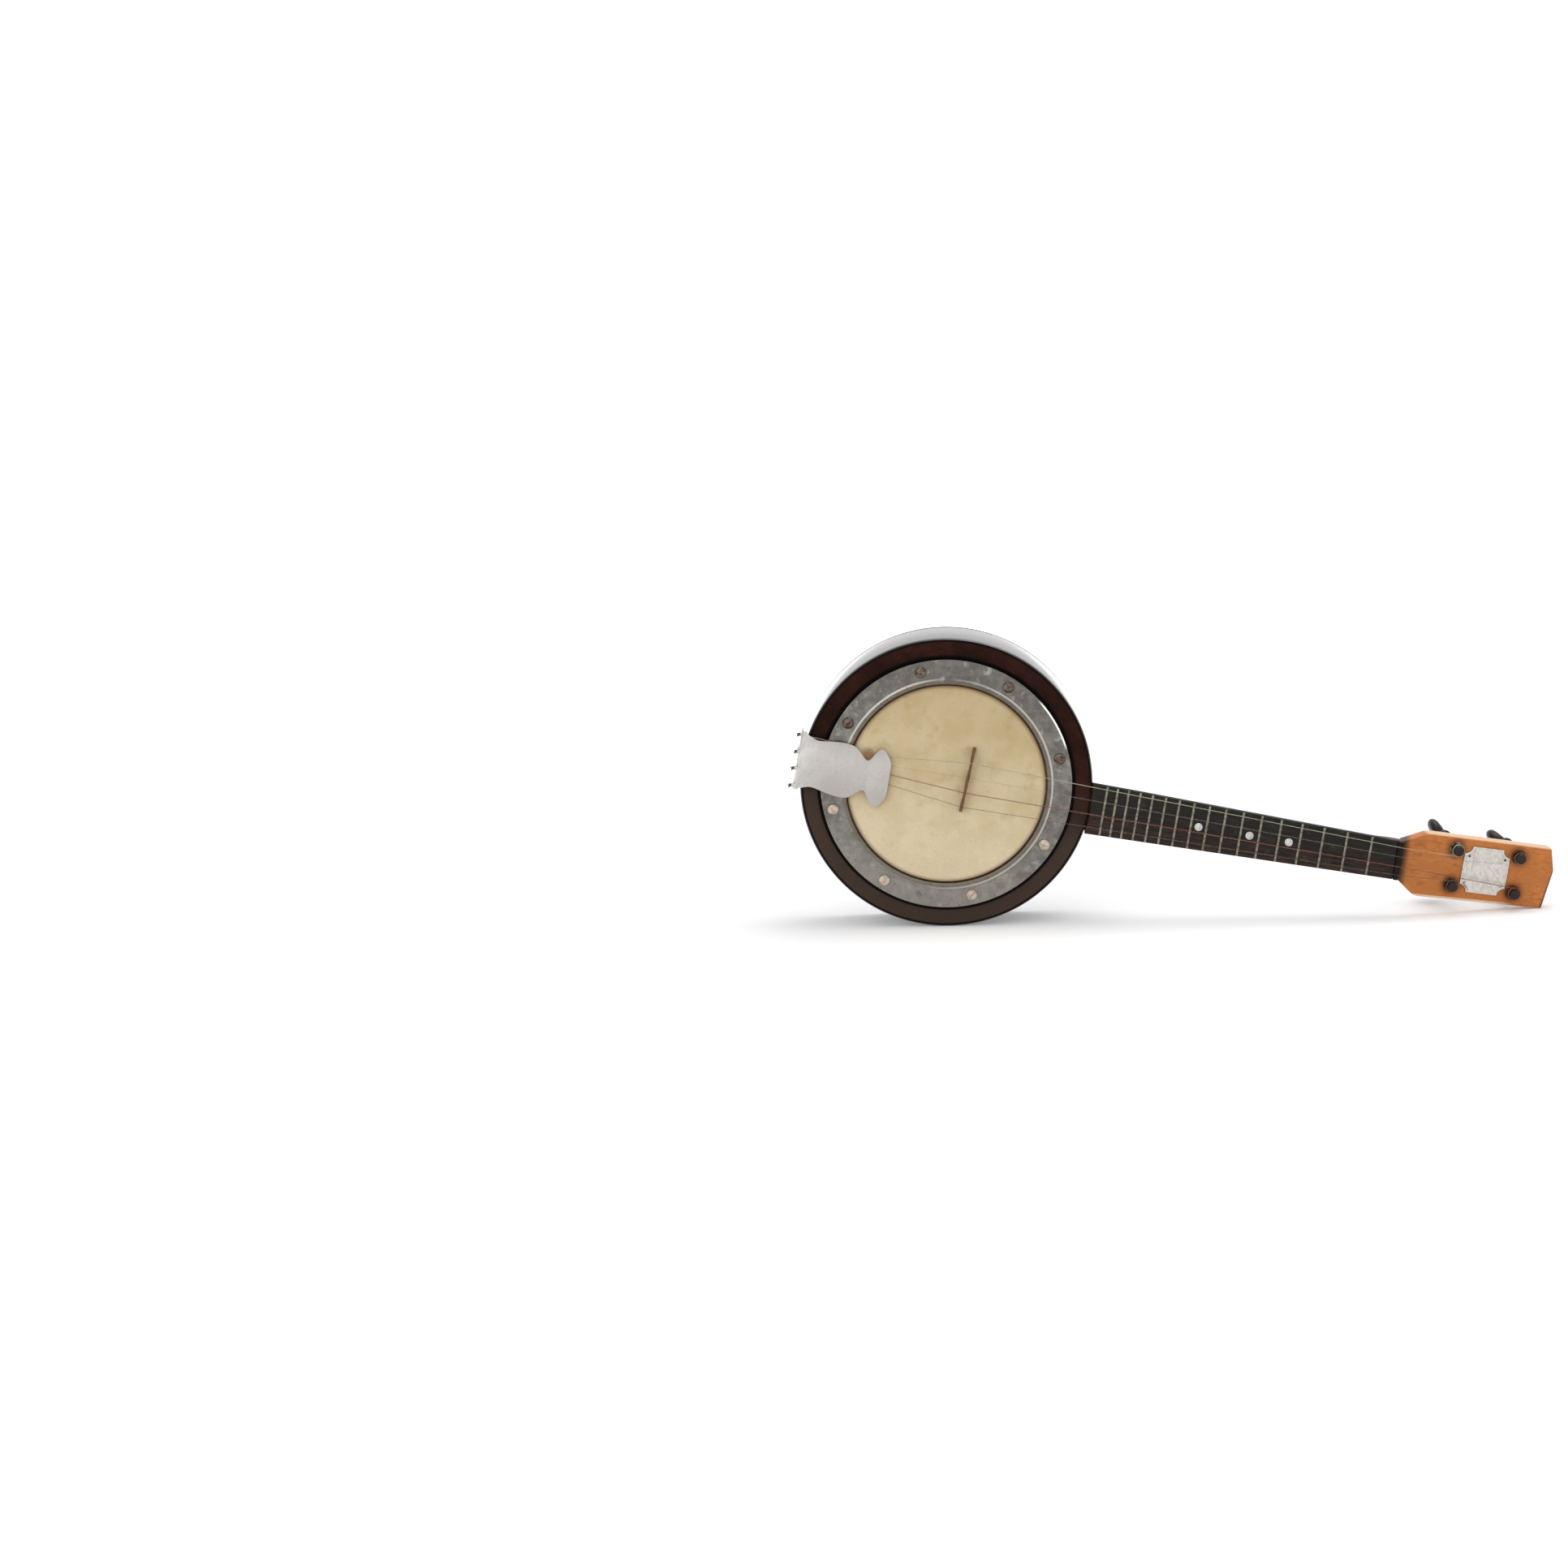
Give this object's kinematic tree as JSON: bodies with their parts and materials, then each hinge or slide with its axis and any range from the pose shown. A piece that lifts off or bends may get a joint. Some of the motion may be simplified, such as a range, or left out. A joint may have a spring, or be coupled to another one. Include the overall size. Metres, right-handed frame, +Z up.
{
  "type": "banjo ukulele",
  "caption": "Banjo ukulele with a closed round wooden pot, skin head under a screwed metal hoop, fretted neck, scalloped tailpiece and friction pegs, resting on its rim and headstock.",
  "frame": {"origin": "middle of the bottom of the whole object's box, on the surface that the rim and the headstock rest on", "axes": "+X from the pot towards the headstock, +Y from the front of the pot to its back, +Z up"},
  "size_m": [0.5552, 0.0896, 0.212],
  "materials": {
    "dark_lacquered_wood": "dark brown gloss lacquer",
    "bare_maple": "bare sanded wood inside the pot",
    "orange_stained_wood": "orange-brown stain under thin varnish",
    "vellum": "aged cream skin, mottled",
    "dull_nickel": "dull pitted nickel plate",
    "bright_nickel": "polished nickel plate, lightly clouded",
    "screw_nickel": "worn nickel plate",
    "fret_wire": "tarnished fret wire",
    "blackened_board": "black stain with worn brown patches",
    "ebony": "dark polished ebony",
    "bridge_wood": "dark brown hardwood, matt",
    "black_pegs": "glossy black",
    "pearl": "pearly white inlay",
    "gut": "translucent gut string"
  },
  "bodies": {
    "instrument": {"body_shell": "dark_lacquered_wood", "pot_rim": "bare_maple", "back_plate": "dark_lacquered_wood", "bearing_rim": "screw_nickel", "head_skin": "vellum", "flesh_hoop": "screw_nickel", "tension_hoop": "dull_nickel", "hoop_screw_1": "screw_nickel", "hoop_screw_2": "screw_nickel", "hoop_screw_3": "screw_nickel", "hoop_screw_4": "screw_nickel", "hoop_screw_5": "screw_nickel", "hoop_screw_6": "screw_nickel", "hoop_screw_7": "screw_nickel", "hoop_screw_8": "screw_nickel", "dowel_stick": "bare_maple", "neck": "orange_stained_wood", "fingerboard": "blackened_board", "fret_1": "fret_wire", "fret_2": "fret_wire", "fret_3": "fret_wire", "fret_4": "fret_wire", "fret_5": "fret_wire", "fret_6": "fret_wire", "fret_7": "fret_wire", "fret_8": "fret_wire", "fret_9": "fret_wire", "fret_10": "fret_wire", "fret_11": "fret_wire", "fret_12": "fret_wire", "fret_13": "fret_wire", "fret_14": "fret_wire", "fret_15": "fret_wire", "fret_16": "fret_wire", "fret_17": "fret_wire", "position_dot_5": "pearl", "position_dot_7": "pearl", "position_dot_10": "pearl", "nut": "ebony", "bridge": "bridge_wood", "tailpiece": "bright_nickel", "tailpiece_screw": "screw_nickel", "string_1": "gut", "string_2": "gut", "string_3": "gut", "string_4": "gut", "peg_bushing_1": "screw_nickel", "peg_bushing_2": "screw_nickel", "peg_bushing_3": "screw_nickel", "peg_bushing_4": "screw_nickel", "headstock_plate": "bright_nickel", "plate_pin_1": "screw_nickel", "plate_pin_2": "screw_nickel", "plate_pin_3": "screw_nickel", "plate_pin_4": "screw_nickel"},
    "tuning_peg_1": {"peg_1": "black_pegs"},
    "tuning_peg_2": {"peg_2": "black_pegs"},
    "tuning_peg_3": {"peg_3": "black_pegs"},
    "tuning_peg_4": {"peg_4": "black_pegs"}
  },
  "joints": [
    {"name": "peg_1_turn", "type": "hinge", "parent": "instrument", "child": "tuning_peg_1", "pos_m": [0.20668, -0.02594, 0.04824], "axis": [-0.2125, 0.9763, 0.0411], "continuous": true},
    {"name": "peg_2_turn", "type": "hinge", "parent": "instrument", "child": "tuning_peg_2", "pos_m": [0.25211, -0.01569, 0.03946], "axis": [-0.2125, 0.9763, 0.0411], "continuous": true},
    {"name": "peg_3_turn", "type": "hinge", "parent": "instrument", "child": "tuning_peg_3", "pos_m": [0.24707, -0.01569, 0.01334], "axis": [-0.2125, 0.9763, 0.0411], "continuous": true},
    {"name": "peg_4_turn", "type": "hinge", "parent": "instrument", "child": "tuning_peg_4", "pos_m": [0.20163, -0.02594, 0.02212], "axis": [-0.2125, 0.9763, 0.0411], "continuous": true}
  ]
}
